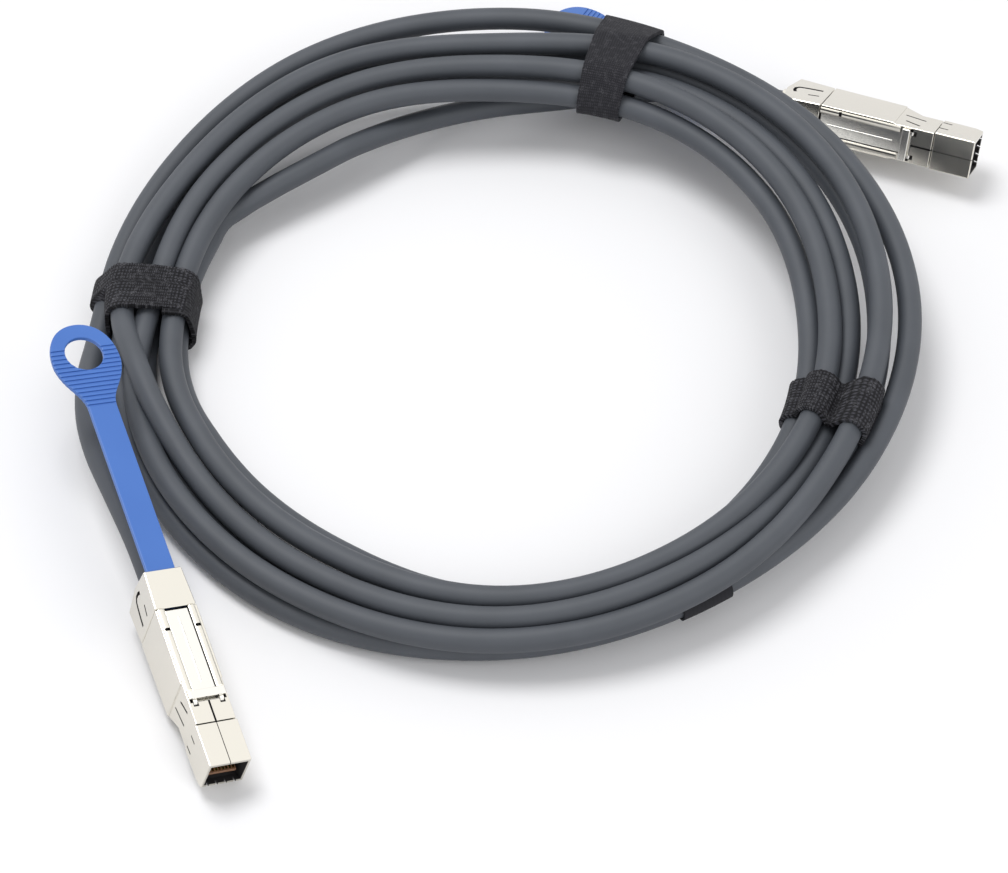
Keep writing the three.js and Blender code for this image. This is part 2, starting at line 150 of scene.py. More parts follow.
# %% World and lights
world = bpy.data.worlds.new("studio")
world.use_nodes = True
bpy.context.scene.world = world
background = world.node_tree.nodes["Background"]
background.inputs["Color"].default_value = (1.0, 1.0, 1.0, 1.0)
path = world.node_tree.nodes.new("ShaderNodeLightPath")
strength = world.node_tree.nodes.new("ShaderNodeMapRange")
strength.inputs["To Min"].default_value = 0.62
strength.inputs["To Max"].default_value = 1.3
world.node_tree.links.new(path.outputs["Is Glossy Ray"], strength.inputs["Value"])
world.node_tree.links.new(strength.outputs["Result"], background.inputs["Strength"])


def area_light(name, place, target, size, watts):
    lamp = bpy.data.lights.new(name, "AREA")
    lamp.shape = "DISK"
    lamp.size = size
    lamp.energy = watts
    light = bpy.data.objects.new(name, lamp)
    light.location = place
    light.rotation_euler = (Vector(target) - Vector(place)).to_track_quat("-Z", "Y").to_euler()
    bpy.context.collection.objects.link(light)
    return light


area_light("key", (-0.35, 0.25, 1.3), (0, 0, 0), 0.7, 9.0)
area_light("fill", (0.8, -0.9, 0.9), (0, 0, 0), 0.9, 4.0)
bpy.context.scene.view_settings.view_transform = "Standard"

# %% [markdown]
# The cable lies on a white sheet. One large plane under it is enough, since the
# camera never sees its edge, and a hair below zero so that it never meets a piece
# that rests on it.

# %% Floor
floor_mesh = bmesh.new()
bmesh.ops.create_grid(floor_mesh, x_segments=1, y_segments=1, size=3.0)
floor_data = bpy.data.meshes.new("floor")
floor_mesh.to_mesh(floor_data)
floor_mesh.free()
floor = bpy.data.objects.new("floor", floor_data)
floor.location.z = -0.0003
bpy.context.collection.objects.link(floor)
# Matt paper: keeps the soft shadow under the ring and has no shine of its own
paper, paper_shader = new_material("white_paper_sweep")
paper_shader.inputs["Base Color"].default_value = srgb("#F4F4F6")
paper_shader.inputs["Roughness"].default_value = 0.9
floor_data.materials.append(paper)
print("floor", [round(v, 1) for v in floor.dimensions], "m")

# %% [markdown]
# ## The cable's route
#
# One cable makes six and a half turns. It is drawn as one curve: the lead from the
# front plug, the turns, and the lead to the far plug. A turn's place in the bundle
# is given at a few angles as how far it lies inside the outer circle and how high it
# lies over the bundle's plane, and a smooth curve joins them. A plain helix would be
# shorter to write, but its strands would never change places as real turns do.

# %% Stations of the turns: angle, then (inward, height) in mm for each turn
LOW = 3.8
STATIONS = {
    175: [(0.0, 4.2), (7.4, LOW), (15.6, LOW), (5.8, 11.2), (16.4, 11.0), (24.0, 10.4), (24.2, 3.0)],
    150: [(-1.0, 4.6), (7.6, LOW), (16.6, LOW), (8.2, 11.2), (17.2, 11.2), (25.4, 10.9), (25.7, LOW)],
    120: [(-3.6, 6.0), (8.0, LOW), (18.4, LOW), (8.6, 11.4), (19.6, 11.4), (29.0, 10.8)],
    90: [(-1.0, 5.4), (13.0, LOW), (24.0, LOW), (16.6, 11.2), (26.6, 11.2), (34.2, 7.6)],
    60: [(2.4, LOW), (11.6, LOW), (19.8, 5.6), (12.2, 11.2), (26.8, 11.0), (31.4, 4.0)],
    30: [(1.4, LOW), (10.2, LOW), (19.8, 7.0), (10.2, 11.2), (26.9, 10.4), (32.2, 3.9)],
    0: [(-0.3, LOW), (9.6, LOW), (19.2, 4.6), (9.6, 11.2), (25.8, 8.8), (31.9, LOW)],
    -30: [(1.4, LOW), (8.2, LOW), (15.8, 4.2), (7.8, 11.2), (20.8, 9.9), (25.6, LOW)],
    -60: [(4.0, 3.2), (11.8, 3.3), (9.4, 10.9), (1.8, 10.4), (17.0, 9.8), (19.8, 3.2)],
    -90: [(3.0, 3.0), (11.2, 3.4), (7.4, 10.9), (0.2, 10.0), (15.3, 10.2), (19.6, 3.4)],
    -120: [(1.0, LOW), (10.4, LOW), (11.6, 11.1), (3.2, 10.8), (20.6, 10.6), (26.0, 4.4)],
    -150: [(3.2, 3.9), (11.0, 3.9), (14.6, 10.9), (6.4, 10.7), (22.4, 10.4), (26.6, 4.2)],
    -168: [(5.2, LOW), (12.8, LOW), (11.0, 16.4), (9.8, 10.0), (21.6, 10.0), (23.8, 3.0)],
}
ANGLES = sorted(STATIONS, reverse=True)
TURNS = 6


def station_list():
    """Total angle travelled, inward distance and height, in order along the cable."""
    rows = []
    for turn in range(TURNS + 1):
        for angle in ANGLES:
            slots = STATIONS[angle]
            if turn < len(slots):
                rows.append((360.0 * turn + 175.0 - angle, *slots[turn]))
    return rows


def smooth_value(rows, travelled, column):
    """Catmull-Rom value of one column at a travelled angle."""
    index = max(i for i, row in enumerate(rows) if row[0] <= travelled + 1e-9)
    index = min(index, len(rows) - 2)
    p = [rows[min(max(index + k, 0), len(rows) - 1)] for k in (-1, 0, 1, 2)]
    t = (travelled - p[1][0]) / (p[2][0] - p[1][0])
    a, b, c, d = (row[column] for row in p)
    return b + 0.5 * t * (c - a + t * (2 * a - 5 * b + 4 * c - d + t * (3 * (b - c) + d - a)))


def turn_point(rows, travelled):
    inward = smooth_value(rows, travelled, 1)
    height = smooth_value(rows, travelled, 2)
    angle = math.radians(175.0 - travelled)
    radius = OUTER_R - inward
    x = OUTER_C[0] + radius * math.cos(angle)
    y = OUTER_C[1] + radius * math.sin(angle)
    return Vector((x, y, coil_base(x, y) + height))


rows = station_list()
last = rows[-1][0]
STEP_ANGLE = 7.5
turns = [turn_point(rows, STEP_ANGLE * i) for i in range(int(last / STEP_ANGLE) + 1)]
print("turn points:", len(turns), "last angle", round(last, 1))

# %% [markdown]
# Each lead leaves its plug straight, bends in a wide arc and settles into the bundle.
# It can't be worked out by a rule, so its points are given one by one, as in the CAD.
# The last stretch of the front lead is drawn a little wider than the CAD's, so that
# it flows into the first turn.

# %% Leads at both ends
place_a = placement(PLUG_A)
place_b = placement(PLUG_B)
EXIT_IN = 6.0
EXIT_OUT = -6.4
CABLE_Z = -11.0
lead_a = [
    place_a @ Vector((EXIT_IN, 0, CABLE_Z)),
    place_a @ Vector((EXIT_OUT, 0, CABLE_Z)),
    Vector((-120.2, -78.5, 17.6)),
    Vector((-128.0, -60.0, 17.0)),
    Vector((-135.0, -42.0, 14.0)),
    Vector((-139.6, -24.0, 10.8)),
    Vector((-141.0, -6.0, 8.4)),
    Vector((-139.6, 10.0, 6.6)),
]
lead_b = [
    place_b @ Vector((EXIT_IN, 0, CABLE_Z)),
    place_b @ Vector((EXIT_OUT, 0, CABLE_Z)),
    Vector((66.0, 122.8, 8.2)),
    Vector((52.0, 127.6, 5.4)),
    Vector((38.0, 128.6, 4.2)),
    Vector((22.0, 126.0, 4.8)),
    Vector((6.0, 122.0, 6.4)),
    Vector((-12.0, 117.2, 8.4)),
    Vector((-28.0, 111.0, 10.4)),
    Vector((-42.0, 103.8, 12.2)),
    Vector((-54.0, 95.8, 14.2)),
    Vector((-65.0, 87.8, 15.2)),
]
route = [p * MM for p in lead_a + turns + lead_b[::-1]]

# %% [markdown]
# The jacket is extruded flexible PVC, charcoal and matt. It has a faint sheen where
# it bends toward the light, and a very fine skin texture from the die. Two noises do
# this: a fine one only tilts the surface, and a slow one shifts the grey a little.
# One flat grey would look like a render of clay.

# %% Jacket material
# Charcoal PVC: a broad, soft highlight along each strand, never a sharp one
jacket, shader = new_material("extruded_pvc_jacket")
coords = add_node(jacket, "ShaderNodeTexCoord")
at = {"Vector": coords.outputs["Object"]}
skin = add_node(jacket, "ShaderNodeTexNoise", at, inputs={"Scale": 900.0, "Detail": 3.0})
mottle = add_node(jacket, "ShaderNodeTexNoise", at, inputs={"Scale": 60.0, "Detail": 2.0})
tone = add_node(jacket, "ShaderNodeValToRGB", {"Fac": mottle.outputs["Fac"]})
tone.color_ramp.elements[0].color = srgb("#3C4046")
tone.color_ramp.elements[1].color = srgb("#4C5057")
height = {"Height": skin.outputs["Fac"]}
dent = add_node(jacket, "ShaderNodeBump", height, inputs={"Strength": 0.08, "Distance": 0.0002})
jacket.node_tree.links.new(tone.outputs["Color"], shader.inputs["Base Color"])
jacket.node_tree.links.new(dent.outputs["Normal"], shader.inputs["Normal"])
shader.inputs["Roughness"].default_value = 0.58
shader.inputs["IOR"].default_value = 1.5
print("made", jacket.name)

# %% [markdown]
# The cable is one curve with a round bevel. A swept mesh would show its facets in
# the long highlights, and a curve keeps a true round section at any bend. Each point
# has its own handles, a third of the way to its neighbours, so no stretch overshoots.

# %% The cable as one curve
cable_curve = bpy.data.curves.new("cable", "CURVE")
cable_curve.dimensions = "3D"
cable_curve.bevel_depth = CABLE_D / 2 * MM
cable_curve.bevel_resolution = 5
cable_curve.resolution_u = 4
cable_curve.use_fill_caps = True
spline = cable_curve.splines.new("BEZIER")
spline.bezier_points.add(len(route) - 1)
for i, point in enumerate(route):
    before = route[max(i - 1, 0)]
    after = route[min(i + 1, len(route) - 1)]
    along = (after - before).normalized()
    knot = spline.bezier_points[i]
    knot.co = point
    knot.handle_left_type = "FREE"
    knot.handle_right_type = "FREE"
    knot.handle_left = point - along * (point - before).length / 3
    knot.handle_right = point + along * (after - point).length / 3
cable = bpy.data.objects.new("cable", cable_curve)
bpy.context.collection.objects.link(cable)
cable_curve.materials.append(jacket)
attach(cable, "cable")
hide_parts("cable_coil", "cable_lead_a", "cable_lead_b")
print("cable curve:", len(spline.bezier_points), "knots,", CABLE_D, "mm thick")

# %% [markdown]
# ## The plugs
#
# A plug is a nickel-plated zinc casting in three parts: a tapered rear shell that
# grips the cable, a body with the latch on top, and a nose with an open mouth. Each
# part is modelled once, in the plug's own frame in millimetres: x to the mating end,
# y to the left, z up, with the top face at 0. It is then copied to both plugs. The
# slots are cut with Boolean modifiers and the edges rounded with a Bevel. Drawing
# the faces by hand would do for a plain box, but not for so many slots.

# %% Sizes of a plug in mm
PLUG_W = 13.0
REAR_W = 11.8
SEAM_X = 13.4
SEAM_DEPTH = 19.3
STEP_X = 38.8
STEP_DEPTH = 18.5
NECK_X = 45.5
NECK_DEPTH = 14.0
CREASE_X = 52.7
MOUTH_X = 66.6
MOUTH_DEPTH = 12.4
WALL = 1.1
GAP = 0.3
HALF = PLUG_W / 2


# %% Helpers: a bar, a cut outline, and a solid with its slots cut and edges rounded
def bar(x0, x1, y0, y1, z0, z1):
    """A block between two corners."""
    bm = bmesh.new()
    bmesh.ops.create_cube(bm, size=1.0)
    bmesh.ops.scale(bm, vec=(x1 - x0, y1 - y0, z1 - z0), verts=bm.verts)
    bmesh.ops.translate(bm, vec=((x0 + x1) / 2, (y0 + y1) / 2, (z0 + z1) / 2), verts=bm.verts)
    return bm


def slab(points, sweep):
    """A flat outline of a few points, extruded along a vector."""
    bm = bmesh.new()
    face = bm.faces.new([bm.verts.new(p) for p in points])
    grown = bmesh.ops.extrude_face_region(bm, geom=[face])["geom"]
    bmesh.ops.translate(bm, vec=sweep, verts=[v for v in grown if isinstance(v, bmesh.types.BMVert)])
    bmesh.ops.recalc_face_normals(bm, faces=bm.faces)
    return bm


def side_slab(points, y0, y1):
    """An outline in x and z, between two widths."""
    return slab([(x, y0, z) for x, z in points], (0, y1 - y0, 0))


def rod(x0, x1, z, radius):
    """A round bar along x."""
    bm = bmesh.new()
    turn = Matrix.Translation(((x0 + x1) / 2, 0, z)) @ Matrix.Rotation(math.pi / 2, 4, "Y")
    bmesh.ops.create_cone(
        bm, cap_ends=True, segments=40, radius1=radius, radius2=radius, depth=x1 - x0, matrix=turn,
    )
    return bm


def thicken_line(points, width, y0, y1):
    """A narrow slot that follows a line in x and z."""
    left, right = [], []
    for i, (x, z) in enumerate(points):
        ax, az = points[max(i - 1, 0)]
        bx, bz = points[min(i + 1, len(points) - 1)]
        size = math.hypot(bx - ax, bz - az)
        nx, nz = -(bz - az) / size * width / 2, (bx - ax) / size * width / 2
        left.append((x + nx, z + nz))
        right.append((x - nx, z - nz))
    return side_slab(left + right[::-1], y0, y1)


def temporary(bm, material=None):
    """An object that lasts only while the modifiers run."""
    mesh = bpy.data.meshes.new("temporary")
    bm.to_mesh(mesh)
    bm.free()
    obj = bpy.data.objects.new("temporary", mesh)
    bpy.context.collection.objects.link(obj)
    if material:
        mesh.materials.append(material)
    return obj


def machined(bm, material, cuts=(), adds=(), inside=None, bevel=0.15, segments=2):
    """A mesh in mm: the shape with others added and cut away, and its edges rounded."""
    body = temporary(bm, material)
    others = []
    for shape, way in [(a, "UNION") for a in adds] + [(c, "DIFFERENCE") for c in cuts]:
        # Cut faces take the inside material where one is given: near-black painted shade
        other = temporary(shape, inside if way == "DIFFERENCE" and inside else material)
        step = body.modifiers.new("shape", "BOOLEAN")
        step.object = other
        step.operation = way
        step.solver = "EXACT"
        step.material_mode = "TRANSFER"
        others.append(other)
    if bevel:
        edge = body.modifiers.new("edges", "BEVEL")
        edge.width = bevel
        edge.segments = segments
        edge.limit_method = "ANGLE"
        edge.angle_limit = math.radians(28)
        edge.use_clamp_overlap = True
    graph = bpy.context.evaluated_depsgraph_get()
    mesh = bpy.data.meshes.new_from_object(body.evaluated_get(graph))
    for obj in [body, *others]:
        data = obj.data
        bpy.data.objects.remove(obj)
        bpy.data.meshes.remove(data)
    return mesh


def soften(mesh, degrees=32):
    """Smooth shading across shallow edges only."""
    bm = bmesh.new()
    bm.from_mesh(mesh)
    for face in bm.faces:
        face.smooth = True
    for edge in bm.edges:
        edge.smooth = edge.calc_face_angle(0.0) < math.radians(degrees)
    bm.to_mesh(mesh)
    bm.free()
    return mesh


def put(name, mesh, place, body, node):
    """One finished piece: its mesh is moved into place in metres, and it stands for its CAD node."""
    copy = mesh.copy()
    copy.name = name
    copy.transform(Matrix.Scale(MM, 4) @ place)
    obj = bpy.data.objects.new(name, copy)
    bpy.context.collection.objects.link(obj)
    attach(obj, body)
    if node:
        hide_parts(node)
    return obj


# %% [markdown]
# The shells are zinc die castings with a satin nickel plate: warm and bright where
# they face the light, and mirror-like enough to pick up the dark cable. The walls of
# the slots, wells, bore and mouth are painted near black: painted shade for the dark
# inside of the hollow shell. A slow noise on the roughness makes the plating cloudy.
# A picture of brushed metal would be too regular for a small casting.

# %% Metal material, and the painted shade for cut walls
# Satin nickel: a warm pale mirror that breaks up softly
nickel, shader = new_material("nickel_plated_zinc_casting")
coords = add_node(nickel, "ShaderNodeTexCoord")
at = {"Vector": coords.outputs["Object"]}
cast = add_node(nickel, "ShaderNodeTexNoise", at, inputs={"Scale": 260.0, "Detail": 4.0})
value = {"Value": cast.outputs["Fac"]}
sheen = add_node(nickel, "ShaderNodeMapRange", value, inputs={"To Min": 0.13, "To Max": 0.2})
height = {"Height": cast.outputs["Fac"]}
ripple = add_node(nickel, "ShaderNodeBump", height, inputs={"Strength": 0.02, "Distance": 0.0003})
nickel.node_tree.links.new(sheen.outputs["Result"], shader.inputs["Roughness"])
nickel.node_tree.links.new(ripple.outputs["Normal"], shader.inputs["Normal"])
shader.inputs["Base Color"].default_value = srgb("#DAD6CC")
shader.inputs["Metallic"].default_value = 1.0

# Rolled steel: whiter than the nickel, with a grain that runs along the leaf
steel, shader = new_material("bright_rolled_spring_steel")
coords = add_node(steel, "ShaderNodeTexCoord")
at = {"Vector": coords.outputs["Object"]}
stretch = add_node(steel, "ShaderNodeMapping", at, inputs={"Scale": (1.0, 1.0, 0.15)})
at = {"Vector": stretch.outputs["Vector"]}
grain = add_node(steel, "ShaderNodeTexNoise", at, inputs={"Scale": 1400.0, "Detail": 2.0})
value = {"Value": grain.outputs["Fac"]}
sheen = add_node(steel, "ShaderNodeMapRange", value, inputs={"To Min": 0.14, "To Max": 0.26})
steel.node_tree.links.new(sheen.outputs["Result"], shader.inputs["Roughness"])
shader.inputs["Base Color"].default_value = srgb("#E4E2DC")
shader.inputs["Metallic"].default_value = 1.0

# Painted shade for the cut walls: near black, with a little noise so that it doesn't read as a flat black hole
painted_slot_shade, shader = new_material("painted_shade_on_cut_walls")
coords = add_node(painted_slot_shade, "ShaderNodeTexCoord")
slot_shade_noise = add_node(painted_slot_shade, "ShaderNodeTexNoise", {"Vector": coords.outputs["Object"]}, inputs={"Scale": 1500.0})
dark = add_node(painted_slot_shade, "ShaderNodeMix", {"Factor": slot_shade_noise.outputs["Fac"]}, data_type="RGBA")
dark.inputs[6].default_value = srgb("#17161A")
dark.inputs[7].default_value = srgb("#2E2B2C")
painted_slot_shade.node_tree.links.new(dark.outputs[2], shader.inputs["Base Color"])
shader.inputs["Roughness"].default_value = 0.7
print("made", nickel.name, steel.name, painted_slot_shade.name)

# %% [markdown]
# ### Rear shell
# It narrows toward the cable in plan and grows deeper, and its back edge is a shallow
# vee. A curved slot and a short one are sunk in each side. A slot follows a few
# points with a width, so it keeps that width round the bend, as a chain of boxes
# would not.

# %% Rear shell
rear_outline = [(0, 0), (-1.35, -10.95), (0.5, -21.7), (SEAM_X - GAP / 2, -SEAM_DEPTH), (SEAM_X - GAP / 2, 0)]
rear = side_slab(rear_outline, -HALF, HALF)
BACK_X = -2.4
tapers = []
for side in (-1, 1):
    near_edge = [(BACK_X, side * REAR_W / 2, -30), (SEAM_X, side * HALF, -30)]
    far_edge = [(SEAM_X, side * 30, -30), (BACK_X, side * 30, -30)]
    tapers.append(slab(near_edge + far_edge, (0, 0, 40)))
rear_clean = machined(rear, nickel, cuts=tapers, bevel=0.45, segments=3)
arc = [(2.3, -7.8), (1.6, -9.6), (1.6, -11.6), (2.6, -12.8), (4.6, -13.1), (7.5, -13.3), (10.6, -13.4)]
short = [(7.0, -7.1), (10.6, -7.7)]
slots = []
for side in (-1, 1):
    near, far = sorted((side * 5.2, side * 8.0))
    slots.append(thicken_line(arc, 1.15, near, far))
    slots.append(thicken_line(short, 0.75, near, far))
strap_way = bar(-3, SEAM_X + 1, -4.8, 4.8, -3.0, -0.8)
bore = rod(-3, 8.3, -11.0, 5.0)
start = bmesh.new()
start.from_mesh(rear_clean)
# The walls of the slots, the strap way and the bore get the painted shade
rear_mesh = machined(start, nickel, cuts=[*slots, strap_way, bore], inside=painted_slot_shade, bevel=0)
print("rear shell faces:", len(rear_mesh.polygons))

# %% [markdown]
# ### Body shell
# Two beaded rails run along the top edges, with the latch plate sunk between them.
# Past the step the sides draw in a little and the underside slants up to the nose.
# The shape is its side view, extruded across, because its bends all show there.

# %% Body shell
body_outline = [
    (SEAM_X + GAP / 2, 0), (SEAM_X + GAP / 2, -SEAM_DEPTH), (STEP_X, -STEP_DEPTH),
    (NECK_X, -NECK_DEPTH), (CREASE_X - GAP / 2, -NECK_DEPTH), (CREASE_X - GAP / 2, 0),
]
shell = side_slab(body_outline, -HALF, HALF)
flanks = [
    bar(STEP_X, CREASE_X + 1, HALF - 0.35, HALF + 1, -30, 1),
    bar(STEP_X, CREASE_X + 1, -HALF - 1, -HALF + 0.35, -30, 1),
]
body_clean = machined(shell, nickel, cuts=flanks, bevel=0.35, segments=3)
RAIL_IN, RAIL_OUT, RAIL_TOP = 3.65, 5.95, 0.35


def rail(side):
    """A bead with a rounded top along one edge of the body."""
    profile = []
    for i in range(7):
        a = math.pi * i / 6
        y = (RAIL_IN + RAIL_OUT) / 2 - math.cos(a) * (RAIL_OUT - RAIL_IN) / 2
        profile.append((13.55, side * y, -0.25 + 0.6 * math.sin(a)))
    profile += [(13.55, side * RAIL_OUT, -1.2), (13.55, side * RAIL_IN, -1.2)]
    return slab(profile, (27.75, 0, 0))


cuts = [
    bar(13.0, 44.95, -RAIL_IN, RAIL_IN, -2.5, 1),
    bar(44.3, 45.6, -5.6, 5.6, -2.5, 1),
    bar(45.4, 46.9, -4.9, -3.3, -2.5, 1),
    bar(45.4, 46.9, 3.3, 4.9, -2.5, 1),
    bar(45.4, 54.0, -0.3, 0.3, -1.6, 1),
]
for side in (-1, 1):
    mid = side * (RAIL_IN + RAIL_OUT) / 2
    cuts.append(bar(20.0, 21.0, mid - 0.85, mid + 0.85, -0.8, 1))
    near, far = sorted((side * 5.0, side * 8.0))
    cuts.append(thicken_line([(40.3, -10.9), (47.6, -9.4)], 0.65, near, far))
    cuts.append(thicken_line([(41.6, -5.6), (44.0, -4.6), (46.8, -3.6)], 0.75, near, far))
start = bmesh.new()
start.from_mesh(body_clean)
# The walls of the latch well, the bridge and hook gaps, the slit, the rail notches and the side slots get the
# painted shade
body_mesh = machined(start, nickel, adds=[rail(-1), rail(1)], cuts=cuts, inside=painted_slot_shade, bevel=0.06, segments=1)
print("body shell faces:", len(body_mesh.polygons))

# %% [markdown]
# ### Nose shell
# The nose is a thin-walled mouth round the paddle cards. A narrow slit runs along the
# middle of its top, and the lower lip has spring fingers for the port's cage. A
# Solidify modifier would give one wall all round. The mouth is cut with a second
# outline instead, since the wall is thicker above and below than at the sides.

# %% Nose shell
nose_outline = [
    (CREASE_X + GAP / 2, 0), (CREASE_X + GAP / 2, -NECK_DEPTH), (MOUTH_X - 2.6, -NECK_DEPTH + 0.4),
    (MOUTH_X, -MOUTH_DEPTH), (MOUTH_X, 0),
]
nose = side_slab(nose_outline, -HALF, HALF)
nose_clean = machined(nose, nickel, bevel=0.3, segments=3)
mouth_outline = [
    (CREASE_X - 1, -WALL), (CREASE_X - 1, -NECK_DEPTH + WALL), (MOUTH_X - 2.6, -NECK_DEPTH + 0.4 + WALL),
    (MOUTH_X + 1, -MOUTH_DEPTH + WALL + 0.5), (MOUTH_X + 1, -WALL),
]
cuts = [side_slab(mouth_outline, -HALF + 0.8, HALF - 0.8), bar(CREASE_X, MOUTH_X + 1, -0.12, 0.12, -2, 1)]
for side in (-1, 1):
    near, far = sorted((side * 5.0, side * 8.0))
    cuts.append(thicken_line([(52.9, -5.6), (56.0, -5.5)], 0.6, near, far))
    cuts.append(thicken_line([(52.9, -11.4), (56.1, -11.1)], 0.6, near, far))
for y in (-4.4, -1.6, 1.2, 4.0):
    cuts.append(bar(MOUTH_X - 1.3, MOUTH_X + 1, y - 0.35, y + 0.35, -20, -MOUTH_DEPTH + WALL + 0.3))
start = bmesh.new()
start.from_mesh(nose_clean)
# The inside of the mouth, the top slit, the side slots and the finger gaps get the painted shade
nose_mesh = machined(start, nickel, cuts=cuts, inside=painted_slot_shade, bevel=0)
print("nose shell faces:", len(nose_mesh.polygons))

# %% [markdown]
# ### Latch plate and bridge
# The plate is a leaf of spring steel with a pressed rib along its middle. Its front
# passes under a bridge and ends in two hooks that catch the port's cage. It rides
# its own body, because pulling the tab makes it dip. Every part of it is a block or a
# wedge joined by a union, as the stamped leaf has only flats and folds.

# %% Latch plate
plate = bar(14.0, 45.2, -3.45, 3.45, -1.2, -0.45)
rib = slab([(16.5, -0.4, -0.6), (16.5, -0.12, -0.35), (16.5, 0.12, -0.35), (16.5, 0.4, -0.6)], (22.5, 0, 0))
cross = bar(43.6, 45.3, -4.7, 4.7, -1.2, -0.45)
hooks = []
for side in (-1, 1):
    near, far = sorted((side * 3.5, side * 4.7))
    hooks.append(side_slab([(44.8, -0.9), (46.6, -0.9), (45.5, 0.3), (44.8, 0.3)], near, far))
latch_mesh = machined(plate, steel, adds=[rib, cross, *hooks], bevel=0.1)
bridge = bar(42.1, 44.8, -5.6, 5.6, 0.3, 1.3)
bridge_mesh = machined(bridge, steel, bevel=0.34, segments=3)
print("latch faces:", len(latch_mesh.polygons), "bridge faces:", len(bridge_mesh.polygons))

# %% [markdown]
# ### Paddle cards, carrier and ferrule
# Each card is a slice of glass laminate with green solder mask and a row of gold
# pads at its front edge. A black moulding carries both, and a crimped sleeve grips
# the cable's end. The cards sit in the dark of the mouth, so their finishes are
# simple. The pads could be painted on. They are thin blocks, which catch a glint.

# %% Card, carrier and ferrule materials
# Solder mask: a glossy mid green with the glass weave just showing
mask, shader = new_material("green_solder_mask_laminate")
coords = add_node(mask, "ShaderNodeTexCoord")
weave = add_node(mask, "ShaderNodeTexNoise", {"Vector": coords.outputs["Object"]}, inputs={"Scale": 2500.0})
green = add_node(mask, "ShaderNodeMix", {"Factor": weave.outputs["Fac"]}, data_type="RGBA")
green.inputs[6].default_value = srgb("#1F5A3C")
green.inputs[7].default_value = srgb("#2E7A52")
mask.node_tree.links.new(green.outputs[2], shader.inputs["Base Color"])
shader.inputs["Roughness"].default_value = 0.35

# Bare laminate: a dull brown that makes the lower card warmer than the upper one
copper, shader = new_material("bare_laminate_edge_with_copper")
coords = add_node(copper, "ShaderNodeTexCoord")
weave = add_node(copper, "ShaderNodeTexNoise", {"Vector": coords.outputs["Object"]}, inputs={"Scale": 1800.0})
brown = add_node(copper, "ShaderNodeMix", {"Factor": weave.outputs["Fac"]}, data_type="RGBA")
brown.inputs[6].default_value = srgb("#6A4A38")
brown.inputs[7].default_value = srgb("#9A7254")
copper.node_tree.links.new(brown.outputs[2], shader.inputs["Base Color"])
shader.inputs["Roughness"].default_value = 0.45

# Gold pads: small warm glints in the dark mouth
gold, shader = new_material("hard_gold_plated_pad")
shader.inputs["Base Color"].default_value = srgb("#D9B26A")
shader.inputs["Metallic"].default_value = 1.0
shader.inputs["Roughness"].default_value = 0.25

# Black polymer: an uneven satin that stays darker than the shell around it
carrier_black, shader = new_material("moulded_black_liquid_crystal_polymer")
coords = add_node(carrier_black, "ShaderNodeTexCoord")
at = {"Vector": coords.outputs["Object"]}
flow = add_node(carrier_black, "ShaderNodeTexNoise", at, inputs={"Scale": 700.0})
value = {"Value": flow.outputs["Fac"]}
rough = add_node(carrier_black, "ShaderNodeMapRange", value, inputs={"To Min": 0.45, "To Max": 0.65})
carrier_black.node_tree.links.new(rough.outputs["Result"], shader.inputs["Roughness"])
shader.inputs["Base Color"].default_value = srgb("#232327")
print("made", mask.name, copper.name, gold.name, carrier_black.name)

# %% Card, carrier and ferrule meshes
CARD_W = 8.8
CARD_Z = {"upper": -2.9, "lower": -8.9}


def card_mesh(z, edge_material):
    """A card with eight pads on each face near its front edge."""
    board = bar(53.6, 64.6, -CARD_W / 2, CARD_W / 2, z - 0.5, z + 0.5)
    bmesh.ops.bevel(
        board, geom=board.edges[:], offset=0.12, offset_type="OFFSET",
        affect="EDGES", segments=1, profile=0.5, material=-1,
    )
    mesh = bpy.data.meshes.new("card")
    board.to_mesh(mesh)
    board.free()
    mesh.materials.append(edge_material)
    pads = bmesh.new()
    pads.from_mesh(mesh)
    for i in range(8):
        y = -CARD_W / 2 + 0.75 + i * (CARD_W - 1.5) / 7
        for top in (z + 0.5, z - 0.56):
            pad = bmesh.ops.create_cube(pads, size=1.0)["verts"]
            bmesh.ops.scale(pads, vec=(4.4, 0.62, 0.06), verts=pad)
            bmesh.ops.translate(pads, vec=(61.9, y, top + 0.03), verts=pad)
            for face in {f for v in pad for f in v.link_faces}:
                face.material_index = 1
    pads.to_mesh(mesh)
    pads.free()
    mesh.materials.append(gold)
    return mesh


card_meshes = {"upper": card_mesh(CARD_Z["upper"], mask), "lower": card_mesh(CARD_Z["lower"], copper)}
half = HALF - WALL - GAP
carrier = bar(53.1, 57.5, -half, half, -NECK_DEPTH + WALL + 0.6, -WALL - GAP)
card_ways = [bar(52, 59, -CARD_W / 2 - GAP, CARD_W / 2 + GAP, z - 0.8, z + 0.8) for z in CARD_Z.values()]
carrier_mesh = machined(carrier, carrier_black, cuts=card_ways, bevel=0.1)
ferrule = rod(-2.4, 8.0, -11.0, 4.7)
ferrule_bore = rod(-3, 9, -11.0, CABLE_D / 2 + 0.25)
ferrule_mesh = soften(machined(ferrule, nickel, cuts=[ferrule_bore], bevel=0.3, segments=3))

# %% [markdown]
# Both plugs are the same casting, so each mesh is copied twice and moved by that
# plug's matrix. Linked copies would share one mesh, but each piece has to stand in
# metres where the CAD has it.

